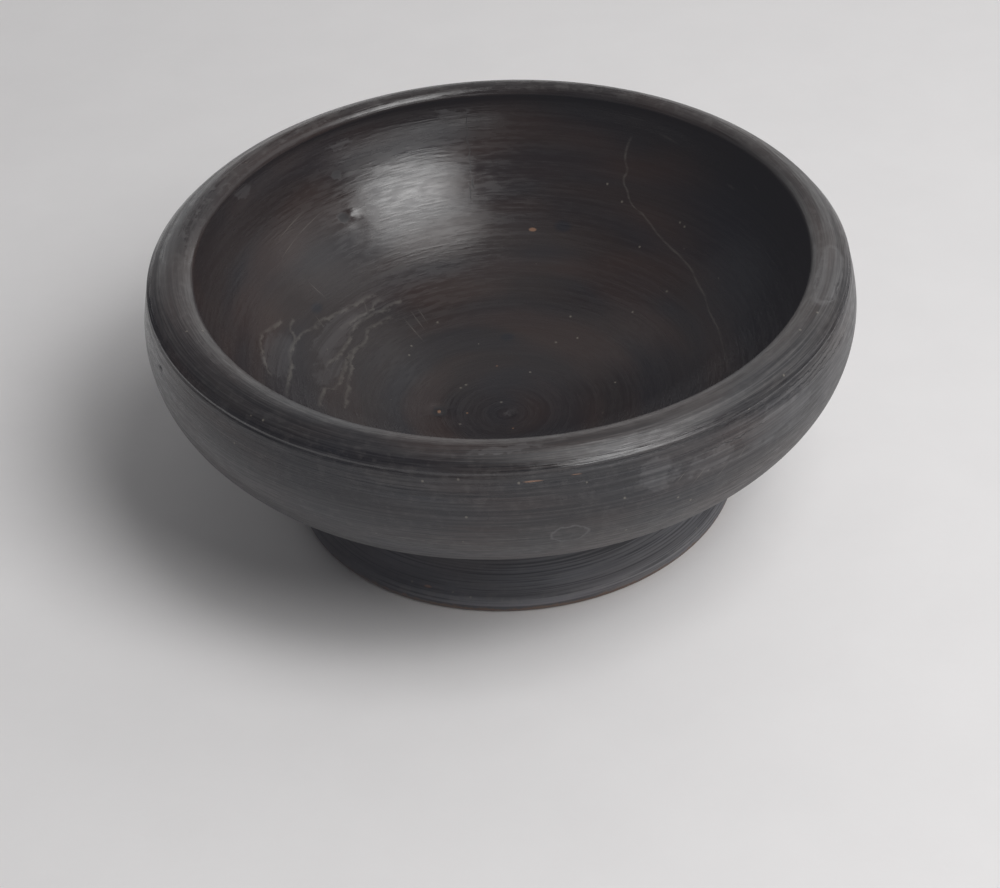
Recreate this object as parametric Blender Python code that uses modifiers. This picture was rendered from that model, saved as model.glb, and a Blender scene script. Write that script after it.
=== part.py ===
"""Footed bowl of black-slipped terracotta.

One piece of fired clay: an open bowl with a thick rounded rim, on a flaring ring foot that is hollow beneath.
It was thrown and turned on the wheel, so one profile turned about the upright axis gives the whole shape.
Sizes are in metres, +Z is up, and the origin is the middle of the circle that the foot rests on.
"""

import bpy
import numpy as np

# Body
BELLY_RADIUS = 0.0560        # widest part of the outside
UNDERSIDE_HEIGHT = 0.0094    # height at which the body's round underside would meet the axis
BELLY_RISE = 0.0257          # from there up to the widest part

# Inside
FLOOR_LIFT = 0.0026          # from the underside's height up to the middle of the inside
FLOOR = 0.0048               # thickness of the floor over the hollow of the foot
WALL = 0.0050                # how far the inside's widest circle stands in from the outside's
THROAT_RISE = 0.0020         # from the inside's widest circle up to the narrowest one of the mouth

# Rim
SHOULDER_RISE = 0.0070       # from the widest part up to the edge where the rim begins
SHOULDER_INSET = 0.0011      # how far that edge stands in from the widest part
GROOVE_WIDTH = 0.0009        # shallow turned groove just under the edge
GROOVE_DEPTH = 0.00012
RIM_RISE = 0.0024            # from the edge up to the rim's highest circle
RIM_WIDTH = 0.0061           # from the edge in to the narrowest circle of the mouth
CREST_INSET = 0.0036         # from the edge in to the rim's highest circle
LIP_DROP = 0.0015            # from the rim's highest circle down to the narrowest one

# Foot
FOOT_RADIUS = 0.0364
FOOT_FLARE = 0.0092          # how far the foot spreads from its neck to its toe
TOE_HEIGHT = 0.0029          # upright band at the foot's edge
TOE_ROUND = 0.0012           # rounding of that band's corners
RING_WIDTH = 0.0070          # width of the ring at the ground
NECK_WALL = 0.0042           # thickness of the ring at the neck
HOLLOW_ROUND = 0.0030        # rounding between the ring's inner face and the floor
HOLLOW_CROWN = 0.0008        # how far the middle of the floor's underside hangs down

# Shape of the curves: handle lengths as shares of the rise or the spread that a curve covers
ROUND = 0.55                 # a plain round corner
UNDERSIDE_FULLNESS = 0.60
BELLY_FULLNESS = 0.60
INSIDE_FULLNESS = 0.72       # on the floor
INSIDE_STEEPNESS = 0.27      # below the inside's widest circle
MOUTH_STRAIGHTNESS = 0.20    # how long the throat stays upright below the mouth
FLARE_AT_NECK = (0.10, 0.45)  # the foot's flare: shares of its spread and of its drop
FLARE_AT_TOE = (0.40, 0.18)
RIM_LEAN = 30.0              # degrees from upright at which the rim's face leaves the edge

TURN_STEPS = 72
SAME_POINT = 0.00001         # points closer than this are one
SLIP_COLOUR = "2A2826"
SLIP_ROUGHNESS = 0.38


def linear(hex_colour):
    """sRGB hex digits as linear red, green, blue and alpha."""
    parts = np.array([int(hex_colour[i : i + 2], 16) for i in (0, 2, 4)]) / 255.0
    low = parts / 12.92
    high = ((parts + 0.055) / 1.055) ** 2.4
    return (*np.where(parts <= 0.04045, low, high), 1.0)


def cubic(handles, share):
    """Points of a cubic, given as start, leaving handle, arriving handle and end, at shares from 0 to 1."""
    start, leave, arrive, end = (np.asarray(point, float) for point in handles)
    t = np.asarray(share, float)[:, None]
    return (1 - t) ** 3 * start + 3 * t * (1 - t) ** 2 * leave + 3 * t**2 * (1 - t) * arrive + t**3 * end


def stretch(start, leave, arrive, end, steps):
    return cubic((start, leave, arrive, end), np.linspace(0.0, 1.0, steps + 1))


def corner(start, tip, end, steps):
    """A rounded corner, which leaves start and arrives at end along the lines to its sharp tip."""
    start, tip, end = (np.asarray(point, float) for point in (start, tip, end))
    return stretch(start, start + ROUND * (tip - start), end + ROUND * (tip - end), end, steps)


def joined(*runs):
    """Runs of points end to end, with a point that two of them share kept once."""
    chain = np.concatenate([np.atleast_2d(run) for run in runs])
    apart = np.linalg.norm(np.diff(chain, axis=0), axis=1) > SAME_POINT
    return chain[np.concatenate([[True], apart])]


def body_handles():
    """The body's outer curve: level where it would meet the axis, upright at the widest part."""
    bottom = np.array([0.0, UNDERSIDE_HEIGHT])
    widest = np.array([BELLY_RADIUS, UNDERSIDE_HEIGHT + BELLY_RISE])
    leave = bottom + [UNDERSIDE_FULLNESS * BELLY_RADIUS, 0.0]
    arrive = widest - [0.0, BELLY_FULLNESS * BELLY_RISE]
    return bottom, leave, arrive, widest


def body_share(radius):
    """Where along the body's outer curve it reaches a radius."""
    share = np.linspace(0.0, 1.0, 400)
    return float(np.interp(radius, cubic(body_handles(), share)[:, 0], share))


def shoulder_edge():
    return body_handles()[-1] + [-SHOULDER_INSET, SHOULDER_RISE]


def crest_circle():
    return shoulder_edge() + [-CREST_INSET, RIM_RISE]


def mouth_circle():
    return shoulder_edge() + [-RIM_WIDTH, RIM_RISE - LIP_DROP]


def inside_profile():
    """From the middle of the floor up the inside to the narrowest circle of the mouth."""
    mouth = mouth_circle()
    floor = np.array([0.0, UNDERSIDE_HEIGHT + FLOOR_LIFT])
    widest = np.array([BELLY_RADIUS - WALL, mouth[1] - THROAT_RISE])
    leave = floor + [INSIDE_FULLNESS * widest[0], 0.0]
    arrive = widest - [0.0, INSIDE_STEEPNESS * (widest[1] - floor[1])]
    bowl = stretch(floor, leave, arrive, widest, 16)
    above = widest + [0.0, ROUND * THROAT_RISE]
    below = mouth - [0.0, MOUTH_STRAIGHTNESS * THROAT_RISE]
    return joined(bowl, stretch(widest, above, below, mouth, 4))


def rim_profile():
    """From the narrowest circle of the mouth, over the rim's crest, to its outer edge."""
    mouth, crest, edge = mouth_circle(), crest_circle(), shoulder_edge()
    lip = corner(mouth, [mouth[0], crest[1]], crest, 5)
    lean = np.radians(RIM_LEAN)
    arrive = edge + ROUND * RIM_RISE * np.array([-np.sin(lean), np.cos(lean)])
    face = stretch(crest, crest + [ROUND * CREST_INSET, 0.0], arrive, edge, 6)
    return joined(lip, face)


def outside_profile():
    """From the rim's outer edge, past the shallow groove and the widest part, to the neck of the foot."""
    edge, widest = shoulder_edge(), body_handles()[-1]
    groove = edge + [-GROOVE_DEPTH, -GROOVE_WIDTH / 2]
    below = edge + [GROOVE_DEPTH, -GROOVE_WIDTH]
    upper = corner(below, [widest[0], (below[1] + widest[1]) / 2], widest, 3)
    lower = cubic(body_handles(), np.linspace(1.0, body_share(FOOT_RADIUS - FOOT_FLARE), 12))
    return joined(edge, groove, upper, lower)


def foot_profile():
    """From the neck down the flare, round the toe, across the ground and up into the hollow."""
    neck = cubic(body_handles(), [body_share(FOOT_RADIUS - FOOT_FLARE)])[0]
    toe_round = min(TOE_ROUND, TOE_HEIGHT / 2)
    toe_top = np.array([FOOT_RADIUS - toe_round, TOE_HEIGHT])
    spread = np.array([FOOT_FLARE, TOE_HEIGHT - neck[1]])
    flare = stretch(neck, neck + FLARE_AT_NECK * spread, toe_top - FLARE_AT_TOE * spread, toe_top, 7)
    toe_upper = corner(toe_top, [FOOT_RADIUS, TOE_HEIGHT], [FOOT_RADIUS, TOE_HEIGHT - toe_round], 2)
    toe_lower = corner([FOOT_RADIUS, toe_round], [FOOT_RADIUS, 0.0], [FOOT_RADIUS - toe_round, 0.0], 3)
    ceiling = UNDERSIDE_HEIGHT + FLOOR_LIFT - FLOOR
    ring_inside = np.array([FOOT_RADIUS - RING_WIDTH, 0.0])
    hollow_edge = np.array([FOOT_RADIUS - FOOT_FLARE - NECK_WALL, ceiling])
    up = (hollow_edge - ring_inside) / np.linalg.norm(hollow_edge - ring_inside)
    ring_edge = corner(ring_inside + [toe_round / 2, 0.0], ring_inside, ring_inside + toe_round / 2 * up, 2)
    hollow_round = min(HOLLOW_ROUND, ceiling / 2)
    inward = np.array([-hollow_round, 0.0])
    fillet = corner(hollow_edge - hollow_round * up, hollow_edge, hollow_edge + inward, 4)
    middle = np.array([0.0, ceiling - HOLLOW_CROWN])
    return joined(flare, toe_upper, toe_lower, ring_edge, fillet, middle)


def slip_material():
    """Iron-rich slip, burnished and fired black: dark, with a satin gloss."""
    material = bpy.data.materials.new("black_slipped_terracotta")
    material.use_nodes = True
    shader = material.node_tree.nodes["Principled BSDF"]
    shader.inputs["Base Color"].default_value = linear(SLIP_COLOUR)
    shader.inputs["Roughness"].default_value = SLIP_ROUGHNESS
    shader.inputs["Metallic"].default_value = 0.0
    return material


def turned_bowl(collection):
    """The whole profile as a chain of edges, turned about Z."""
    profile = joined(inside_profile(), rim_profile(), outside_profile(), foot_profile())
    vertices = [(radius, 0.0, height) for radius, height in profile]
    edges = [(i, i + 1) for i in range(len(vertices) - 1)]
    mesh = bpy.data.meshes.new("bowl")
    mesh.from_pydata(vertices, edges, [])
    mesh.materials.append(slip_material())
    bowl = bpy.data.objects.new("bowl", mesh)
    collection.objects.link(bowl)
    screw = bowl.modifiers.new("turned on the wheel", "SCREW")
    screw.axis = "Z"
    screw.steps = TURN_STEPS
    screw.render_steps = TURN_STEPS
    screw.use_merge_vertices = True
    screw.merge_threshold = SAME_POINT
    screw.use_smooth_shade = True
    return bowl


def main():
    for existing in list(bpy.data.objects):
        bpy.data.objects.remove(existing)
    collection = bpy.data.collections.new("footed_bowl")
    bpy.context.scene.collection.children.link(collection)
    turned_bowl(collection)


main()
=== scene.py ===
"""The looks of a small footed bowl of black-slipped terracotta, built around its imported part.

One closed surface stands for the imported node: the same profile, turned about the upright axis, with the
small faults that throwing, turning and burnishing by hand leave in a bowl. Angles around the bowl are in
degrees: 0 at its right as the camera sees it, 90 at the far side, 180 at its left, 270 at the near side.
Places along the profile are in millimetres from the middle of the floor, up the inside, over the rim, down
the outside and under the foot.
"""
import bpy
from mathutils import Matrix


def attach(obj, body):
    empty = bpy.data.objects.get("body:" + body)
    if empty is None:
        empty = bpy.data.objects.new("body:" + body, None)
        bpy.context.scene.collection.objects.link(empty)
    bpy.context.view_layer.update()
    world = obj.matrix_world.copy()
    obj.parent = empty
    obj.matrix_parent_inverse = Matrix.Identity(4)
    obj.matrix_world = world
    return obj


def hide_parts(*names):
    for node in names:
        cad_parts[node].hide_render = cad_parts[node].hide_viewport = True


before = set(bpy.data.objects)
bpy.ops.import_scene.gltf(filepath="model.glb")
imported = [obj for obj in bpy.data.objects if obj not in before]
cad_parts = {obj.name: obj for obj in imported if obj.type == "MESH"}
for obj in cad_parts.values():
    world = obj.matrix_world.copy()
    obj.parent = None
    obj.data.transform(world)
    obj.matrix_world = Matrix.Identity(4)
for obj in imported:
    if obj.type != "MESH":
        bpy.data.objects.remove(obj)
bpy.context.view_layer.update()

from types import SimpleNamespace

import bpy
import numpy as np
from mathutils import Matrix

MM = 0.001

# Body. All sizes are in millimetres and as in the part, apart from the rim's lean
BELLY_RADIUS = 56.0          # widest part of the outside
UNDERSIDE_HEIGHT = 9.4       # height at which the body's round underside would meet the axis
BELLY_RISE = 25.7            # from there up to the widest part

# Inside
FLOOR_LIFT = 2.6             # from the underside's height up to the middle of the inside
FLOOR = 4.8                  # thickness of the floor over the hollow of the foot
WALL = 5.0                   # how far the inside's widest circle stands in from the outside's
THROAT_RISE = 2.0            # from the inside's widest circle up to the narrowest one of the mouth

# Rim
SHOULDER_RISE = 7.0          # from the widest part up to the edge where the rim begins
SHOULDER_INSET = 1.1         # how far that edge stands in from the widest part
GROOVE_WIDTH = 0.9           # shallow turned groove just under the edge
GROOVE_DEPTH = 0.12
RIM_RISE = 2.4               # from the edge up to the rim's highest circle
RIM_WIDTH = 6.1              # from the edge in to the narrowest circle of the mouth
CREST_INSET = 3.6            # from the edge in to the rim's highest circle
LIP_DROP = 1.5               # from the rim's highest circle down to the narrowest one

# Foot
FOOT_RADIUS = 36.4
FOOT_FLARE = 9.2             # how far the foot spreads from its neck to its toe
TOE_HEIGHT = 2.9             # upright band at the foot's edge
TOE_ROUND = 1.2              # rounding of that band's corners
RING_WIDTH = 7.0             # width of the ring at the ground
NECK_WALL = 4.2              # thickness of the ring at the neck
HOLLOW_ROUND = 3.0           # rounding between the ring's inner face and the floor
HOLLOW_CROWN = 0.8           # how far the middle of the floor's underside hangs down

# Shape of the curves: handle lengths as shares of the rise or the spread that a curve covers
ROUND = 0.55
UNDERSIDE_FULLNESS = 0.60
BELLY_FULLNESS = 0.60
INSIDE_FULLNESS = 0.72
INSIDE_STEEPNESS = 0.27
MOUTH_STRAIGHTNESS = 0.20
FLARE_AT_NECK = (0.10, 0.45)
FLARE_AT_TOE = (0.40, 0.18)
RIM_LEAN = 40.0              # degrees, 10 more than the part's, which makes the rim's face 0.1 mm flatter

# Faults of the hand-thrown shape: how far each circle leans, stretches and stands off the axis
LEAN = (-0.0018, 0.0162)
BODY_OVAL = (-0.0008, -0.0002)
MOUTH_OVAL = (-0.0139, 0.0033)
MOUTH_OFFSET = (0.58, 0.69)
FOOT_OVAL = (-0.0061, 0.0087)
FOOT_OFFSET = (1.58, 0.48)
FOOT_LEVEL = (3.0, 12.0)     # heights between which the foot's faults give way to the body's
MOUTH_FROM = 0.25            # share of the inside's length at which the mouth's faults begin to grow

# Mesh
AROUND = 300                 # columns of the mesh
CURVE_STEPS = 400            # points that each curve of the profile is worked out with
COUNTING_STEPS = 20000       # points that the rows are counted off with
SAME_POINT = 1e-9            # points closer than this are one
SLOPE_REACH = 0.15           # how far to either side the profile's direction is taken from
FINE_DEPTH = 0.11            # hollows deeper than this draw the mesh towards them,
PULL = 0.55                  # by this share of a point's distance
REACH = 5.0                  # within this many millimetres


def linear(hex_colour):
    """sRGB hex digits as linear red, green, blue and alpha."""
    parts = np.array([int(hex_colour[i : i + 2], 16) for i in (0, 2, 4)]) / 255.0
    high = ((parts + 0.055) / 1.055) ** 2.4
    return (*np.where(parts <= 0.04045, parts / 12.92, high), 1.0)


def smooth(low, high, value):
    """0 below low, 1 above high, and the S-curve 3t^2 - 2t^3 between them."""
    share = np.clip((value - low) / (high - low), 0.0, 1.0)
    return share * share * (3.0 - 2.0 * share)


def swell(off, width):
    """A bell, exp(-(off / width)^2): 1 in its middle and almost nothing two widths away."""
    return np.exp(-((off / width) ** 2))


# Profile

def cubic(start, leave, arrive, end, first=0.0):
    """A cubic: its points weighted by (1-t)^3, 3t(1-t)^2, 3t^2(1-t) and t^3, with t from first to 1."""
    t = np.linspace(first, 1.0, CURVE_STEPS)[:, None]
    start, leave, arrive, end = (np.asarray(point, float) for point in (start, leave, arrive, end))
    return (1 - t) ** 3 * start + 3 * t * (1 - t) ** 2 * leave + 3 * t**2 * (1 - t) * arrive + t**3 * end


def corner(start, tip, end):
    """A rounded corner, which leaves start and arrives at end along the lines to its sharp tip."""
    start, tip, end = (np.asarray(point, float) for point in (start, tip, end))
    return cubic(start, start + ROUND * (tip - start), end + ROUND * (tip - end), end)


def body_curve(first=0.0):
    """The body's outer curve, from where it would meet the axis, level, to the widest part, upright."""
    bottom = np.array([0.0, UNDERSIDE_HEIGHT])
    widest = np.array([BELLY_RADIUS, UNDERSIDE_HEIGHT + BELLY_RISE])
    leave = bottom + [UNDERSIDE_FULLNESS * BELLY_RADIUS, 0.0]
    return cubic(bottom, leave, widest - [0.0, BELLY_FULLNESS * BELLY_RISE], widest, first)


def inside_runs(mouth):
    """From the middle of the floor up the inside to the narrowest circle of the mouth."""
    middle = np.array([0.0, UNDERSIDE_HEIGHT + FLOOR_LIFT])
    widest = np.array([BELLY_RADIUS - WALL, mouth[1] - THROAT_RISE])
    leave = middle + [INSIDE_FULLNESS * widest[0], 0.0]
    arrive = widest - [0.0, INSIDE_STEEPNESS * (widest[1] - middle[1])]
    above = widest + [0.0, ROUND * THROAT_RISE]
    below = mouth - [0.0, MOUTH_STRAIGHTNESS * THROAT_RISE]
    return {"inside": cubic(middle, leave, arrive, widest), "throat": cubic(widest, above, below, mouth)}


def rim_runs(mouth, crest, edge):
    """From the narrowest circle of the mouth, over the rim's crest, to its outer edge."""
    lean = np.radians(RIM_LEAN)
    leave = crest + [ROUND * CREST_INSET, 0.0]
    arrive = edge + ROUND * RIM_RISE * np.array([-np.sin(lean), np.cos(lean)])
    return {"lip": corner(mouth, [mouth[0], crest[1]], crest), "rim": cubic(crest, leave, arrive, edge)}


def outside_runs(edge):
    """From the rim's outer edge, past the shallow groove and the widest part, to the neck of the foot."""
    outer = body_curve()
    widest = outer[-1]
    groove = edge + [-GROOVE_DEPTH, -GROOVE_WIDTH / 2]
    below = edge + [GROOVE_DEPTH, -GROOVE_WIDTH]
    neck_share = np.interp(FOOT_RADIUS - FOOT_FLARE, outer[:, 0], np.linspace(0, 1, CURVE_STEPS))
    return {
        "groove": np.array([edge, groove, below]),
        "shoulder": corner(below, [widest[0], (below[1] + widest[1]) / 2], widest),
        "belly": body_curve(neck_share)[::-1],
    }


def foot_runs(neck):
    """From the neck down the flare, round the toe, across the ground and up to the middle of the hollow."""
    toe_top = np.array([FOOT_RADIUS - TOE_ROUND, TOE_HEIGHT])
    spread = np.array([FOOT_FLARE, TOE_HEIGHT - neck[1]])
    toe_upper = corner(toe_top, [FOOT_RADIUS, TOE_HEIGHT], [FOOT_RADIUS, TOE_HEIGHT - TOE_ROUND])
    toe_lower = corner([FOOT_RADIUS, TOE_ROUND], [FOOT_RADIUS, 0], [FOOT_RADIUS - TOE_ROUND, 0])
    ceiling = UNDERSIDE_HEIGHT + FLOOR_LIFT - FLOOR
    ring_inside = np.array([FOOT_RADIUS - RING_WIDTH, 0.0])
    hollow_edge = np.array([FOOT_RADIUS - FOOT_FLARE - NECK_WALL, ceiling])
    up = (hollow_edge - ring_inside) / np.linalg.norm(hollow_edge - ring_inside)
    return {
        "flare": cubic(neck, neck + FLARE_AT_NECK * spread, toe_top - FLARE_AT_TOE * spread, toe_top),
        "toe": np.concatenate([toe_upper, toe_lower]),
        "ring": corner(ring_inside + [TOE_ROUND / 2, 0], ring_inside, ring_inside + TOE_ROUND / 2 * up),
        "hollow": corner(hollow_edge - HOLLOW_ROUND * up, hollow_edge, hollow_edge - [HOLLOW_ROUND, 0]),
        "crown": np.array([[0.0, ceiling - HOLLOW_CROWN]]),
    }


def profile_runs():
    """The profile's named runs, from the middle of the floor, over the rim, to the middle of the hollow."""
    edge = body_curve()[-1] + [-SHOULDER_INSET, SHOULDER_RISE]
    crest = edge + [-CREST_INSET, RIM_RISE]
    mouth = edge + [-RIM_WIDTH, RIM_RISE - LIP_DROP]
    outside = outside_runs(edge)
    neck = outside["belly"][-1]
    return {**inside_runs(mouth), **rim_runs(mouth, crest, edge), **outside, **foot_runs(neck)}


def joined(runs):
    """The runs end to end as radius and height, the length along them in mm, and the place where each ends.
    The profile starts on the axis, because the inside's first point has radius 0."""
    chain = np.concatenate(list(runs.values()))
    steps = np.hypot(*np.diff(chain, axis=0).T)
    length = np.concatenate([[0.0], np.cumsum(steps)])
    last = np.cumsum([len(run) for run in runs.values()]) - 1
    keep = np.concatenate([[True], steps > SAME_POINT])
    return chain[keep], length[keep], dict(zip(runs, length[last]))


PROFILE, LENGTH, END = joined(profile_runs())

# Spacing of the mesh's rows in mm, at places along the profile
SPACING = [
    (0.0, 0.70), (30.0, 0.75), (END["inside"], 0.62), (END["throat"] - 1.5, 0.40), (END["throat"], 0.24),
    (END["lip"], 0.26), (END["rim"] - 1.0, 0.22), (END["rim"], 0.09), (END["groove"], 0.11),
    (END["groove"] + 1.5, 0.40), (END["shoulder"] + 10.0, 0.62), (END["belly"] - 6.0, 0.62),
    (END["belly"], 0.50), (END["flare"] - 1.5, 0.34), (END["flare"], 0.16), (END["toe"], 0.20),
    (END["toe"] + 2.0, 0.70), (END["ring"], 0.30), (END["ring"] + 2.0, 1.0), (END["hollow"], 1.0),
    (END["crown"], 2.0),
]


def rows():
    """Places of the mesh's rows along the profile: the running sum of 1 / spacing counts them off."""
    places, spacing = np.array(SPACING).T
    fine = np.linspace(0.0, LENGTH[-1], COUNTING_STEPS)
    per_step = 1.0 / np.interp(fine[1:], places, spacing) * np.diff(fine)
    count = np.concatenate([[0.0], np.cumsum(per_step)])
    return np.interp(np.linspace(0.0, count[-1], int(round(count[-1])) + 1), count, fine)


def circle_at(along):
    """Radius and height of the plain profile at a place along it."""
    return np.interp(along, LENGTH, PROFILE[:, 0]), np.interp(along, LENGTH, PROFILE[:, 1])


def raised(along, relief):
    """Radius and height of points that stand off the profile by the relief, square to it. The profile climbs
    the inside first, so its outward side is to the left of the way it runs."""
    radius, height = circle_at(along)
    radius_ahead, height_ahead = circle_at(np.clip(along + SLOPE_REACH, 0, LENGTH[-1]))
    radius_behind, height_behind = circle_at(np.clip(along - SLOPE_REACH, 0, LENGTH[-1]))
    rise, run = height_ahead - height_behind, radius_ahead - radius_behind
    size = np.maximum(np.hypot(rise, run), SAME_POINT)
    return np.maximum(radius - relief * rise / size, 0.0), height + relief * run / size


def turned(angle, along, relief):
    """Points of the surface, in metres. The profile's radius and height at a place along it, moved by the
    relief, are turned to the angle. Then each level leans, stretches and shifts: a fault moves x and y by its
    offset and by its stretch times x and y, and height by its lean times x and y."""
    radius, height = raised(along, relief)
    x, y = radius * np.cos(angle), radius * np.sin(angle)
    body = smooth(*FOOT_LEVEL, height)
    mouth = smooth(MOUTH_FROM * END["throat"], END["throat"], along)
    mouth = mouth * (1 - smooth(END["throat"], END["rim"], along))
    wide, skew = (
        body * (mouth * at_mouth + (1 - mouth) * at_body) + (1 - body) * at_foot
        for at_mouth, at_body, at_foot in zip(MOUTH_OVAL, BODY_OVAL, FOOT_OVAL)
    )
    offset_x, offset_y = (
        body * mouth * at_mouth + (1 - body) * at_foot for at_mouth, at_foot in zip(MOUTH_OFFSET, FOOT_OFFSET)
    )
    lean_x, lean_y = LEAN
    flat_x = offset_x + (1 + wide) * x + skew * y
    flat_y = offset_y + skew * x + (1 - wide) * y
    place_x = flat_x + body * lean_y * height
    place_y = flat_y - body * lean_x * height
    place_z = height + body * (lean_x * flat_y - lean_y * flat_x)
    return np.stack([place_x, place_y, place_z], axis=-1) * MM


# Small forms of the surface

# Low ridges that the turning tool and the burnisher left: from, to, how many, tallest
RIDGES = [
    (14.0, 60.0, 16, 0.007), (67.0, 73.0, 5, 0.005), (76.0, 119.0, 34, 0.013), (122.0, 132.0, 9, 0.022),
]
RIDGE_WIDTHS = (0.35, 1.3)
RIDGE_WAVERS = (0.1, 0.5)    # how far a ridge strays from its circle
RIDGE_SEED = 17

# Two longer ridges on the inside: angle and place where each starts and where it ends, width, height
LONG_RIDGES = [(98.8, 58.5, 116.9, 59.9, 0.5, 0.02), (95.0, 50.1, 119.4, 54.6, 0.6, 0.03)]
LONG_RIDGE_FADE = 3.0        # degrees

# The groove under the rim is burnished nearly flat on the left
GROOVE_AT = (END["rim"] + END["groove"]) / 2
GROOVE_FILLED = (210.0, 58.0, 88.0, 0.13)  # angle, degrees off it: full out to and none from, height
GROOVE_FILL_WIDTH = 0.9

# Hollows, and with a depth below zero bumps: angle, place, half-length around, half-width down, depth
HOLLOWS = [
    (124.3, 48.7, 1.3, 1.2, 0.30), (124.0, 46.9, 2.2, 1.8, -0.10), (122.0, 56.0, 1.3, 1.2, 0.10),
    (175.8, 10.8, 2.2, 1.8, 0.34), (175.8, 10.8, 1.1, 0.9, -0.30), (345.4, 0.9, 1.1, 0.9, 0.36),
    (201.1, 77.7, 0.7, 0.5, 0.20), (273.3, 75.75, 1.5, 0.35, 0.12), (246.7, 133.5, 0.8, 0.4, 0.20),
    (287.5, 72.9, 0.9, 0.5, 0.06), (255.0, 84.5, 3.5, 2.2, 0.03), (300.0, 87.0, 4.0, 2.5, 0.04),
    (140.0, 30.0, 5.0, 4.0, 0.04), (30.0, 45.0, 6.0, 3.5, 0.05), (98.0, 41.0, 5.0, 2.5, -0.03),
    (112.0, 44.5, 3.0, 1.6, -0.035), (104.0, 53.0, 3.5, 1.2, 0.03), (118.0, 52.0, 2.0, 1.5, -0.03),
]

# Where the last brush stroke of slip overlaps the first: angle, from, to, height
LAP = (93.4, 45.0, 64.0, 0.05)
LAP_EDGE = 0.3               # half the width of its step
LAP_FADE = 6.0               # how far behind the step it thins out, and how far up it grows to its height
LAP_TAIL = 2.0               # how far it takes to end at the top


def off_by(angle, along, at_angle, at_place):
    """How far each point lies from a place on the surface, in mm around and in mm along the profile."""
    turn = (angle - np.radians(at_angle) + np.pi) % (2.0 * np.pi) - np.pi
    return turn * circle_at(along)[0], along - at_place


def ridges(angle, along):
    """Height of the low ridges in mm. Each is a bell across a circle that wavers, m + w sin(a + p), and its
    strength comes and goes around the bowl by 0.6 + 0.4 sin(n a + q), with n from 1 to 3."""
    random = np.random.default_rng(RIDGE_SEED)
    height = np.zeros(np.broadcast(angle, along).shape)
    for first, last, count, tall in RIDGES:
        for _ in range(count):
            middle, width = random.uniform(first, last), random.uniform(*RIDGE_WIDTHS)
            waver = random.uniform(*RIDGE_WAVERS)
            phase, other = random.uniform(0, 2 * np.pi, 2)
            lobes = random.integers(1, 4)
            strength = tall * random.uniform(-1.0, 1.0) * (0.6 + 0.4 * np.sin(lobes * angle + other))
            height += strength * swell(along - middle - waver * np.sin(angle + phase), width)
    return height


def long_ridges(degrees, along):
    """Height of the two longer ridges in mm: a bell across a straight line that fades at both its ends."""
    height = 0.0
    for first, at_first, last, at_last, width, tall in LONG_RIDGES:
        middle = np.interp(degrees, [first, last], [at_first, at_last])
        begun = smooth(first - LONG_RIDGE_FADE, first + LONG_RIDGE_FADE, degrees)
        ended = smooth(last - LONG_RIDGE_FADE, last + LONG_RIDGE_FADE, degrees)
        height = height + tall * begun * (1 - ended) * swell(along - middle, width)
    return height


def groove_fill(degrees, along):
    """What fills the groove on the left, in mm: a bell across it, fading out to either side."""
    at_angle, full, none, fill = GROOVE_FILLED
    present = 1 - smooth(full, none, np.abs(degrees - at_angle))
    return fill * present * swell(along - GROOVE_AT, GROOVE_FILL_WIDTH)


def lap(angle, along):
    """Height of the lap in mm: a step at its angle, which thins out behind it as exp(-d / fade)."""
    at_angle, first, last, step = LAP
    behind = -off_by(angle, along, at_angle, 0.0)[0]
    beyond = smooth(-LAP_EDGE, LAP_EDGE, behind) * np.exp(-np.maximum(behind, 0.0) / LAP_FADE)
    return step * beyond * smooth(first, first + LAP_FADE, along) * (1 - smooth(last - LAP_TAIL, last, along))


def relief(angle, along):
    """Height of the small forms above the plain profile, in mm. A hollow is -depth * (1 - d^2)^2, with d the
    distance in its own half-sizes."""
    degrees = np.degrees(angle) % 360.0
    height = ridges(angle, along) + long_ridges(degrees, along) + groove_fill(degrees, along)
    for at_angle, at_place, half_around, half_down, depth in HOLLOWS:
        around, down = off_by(angle, along, at_angle, at_place)
        near = (around / half_around) ** 2 + (down / half_down) ** 2
        height -= depth * np.clip(1.0 - near, 0.0, 1.0) ** 2
    return height + lap(angle, along)


# Mesh of the bowl

def gathered(angle, along):
    """The grid's points drawn towards the deep little hollows, so that they get a finer mesh. A point d mm
    from one keeps 1 - PULL * (1 - (d / REACH)^2)^2 of its distance."""
    for at_angle, at_place, _, _, depth in HOLLOWS:
        if abs(depth) > FINE_DEPTH:
            around, down = off_by(angle, along, at_angle, at_place)
            share = PULL * np.clip(1.0 - (around**2 + down**2) / REACH**2, 0.0, 1.0) ** 2
            radius = np.maximum(circle_at(along)[0], 1.0)
            angle, along = angle - share * around / radius, along - share * down
    return angle, along


def ring_faces(count):
    """Corners of all faces, and where each face starts in that list: four corners between one ring and the
    next, then a fan of triangles round the middle of the floor and one round the middle of the hollow."""
    row, column = np.meshgrid(np.arange(count - 1), np.arange(AROUND), indexing="ij")
    here, beside = row * AROUND + column, row * AROUND + (column + 1) % AROUND
    quads = np.stack([here, here + AROUND, beside + AROUND, beside], axis=-1).reshape(-1, 4)
    turn = np.arange(AROUND)
    after = (turn + 1) % AROUND
    floor_middle, last_ring = count * AROUND, (count - 1) * AROUND
    upper = np.stack([turn, after, np.full(AROUND, floor_middle)], axis=-1)
    under = np.stack([last_ring + after, last_ring + turn, np.full(AROUND, floor_middle + 1)], axis=-1)
    corners = np.concatenate([quads.ravel(), upper.ravel(), under.ravel()])
    starts = np.concatenate([np.arange(len(quads)) * 4, len(quads) * 4 + np.arange(2 * AROUND) * 3])
    return corners, starts


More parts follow.
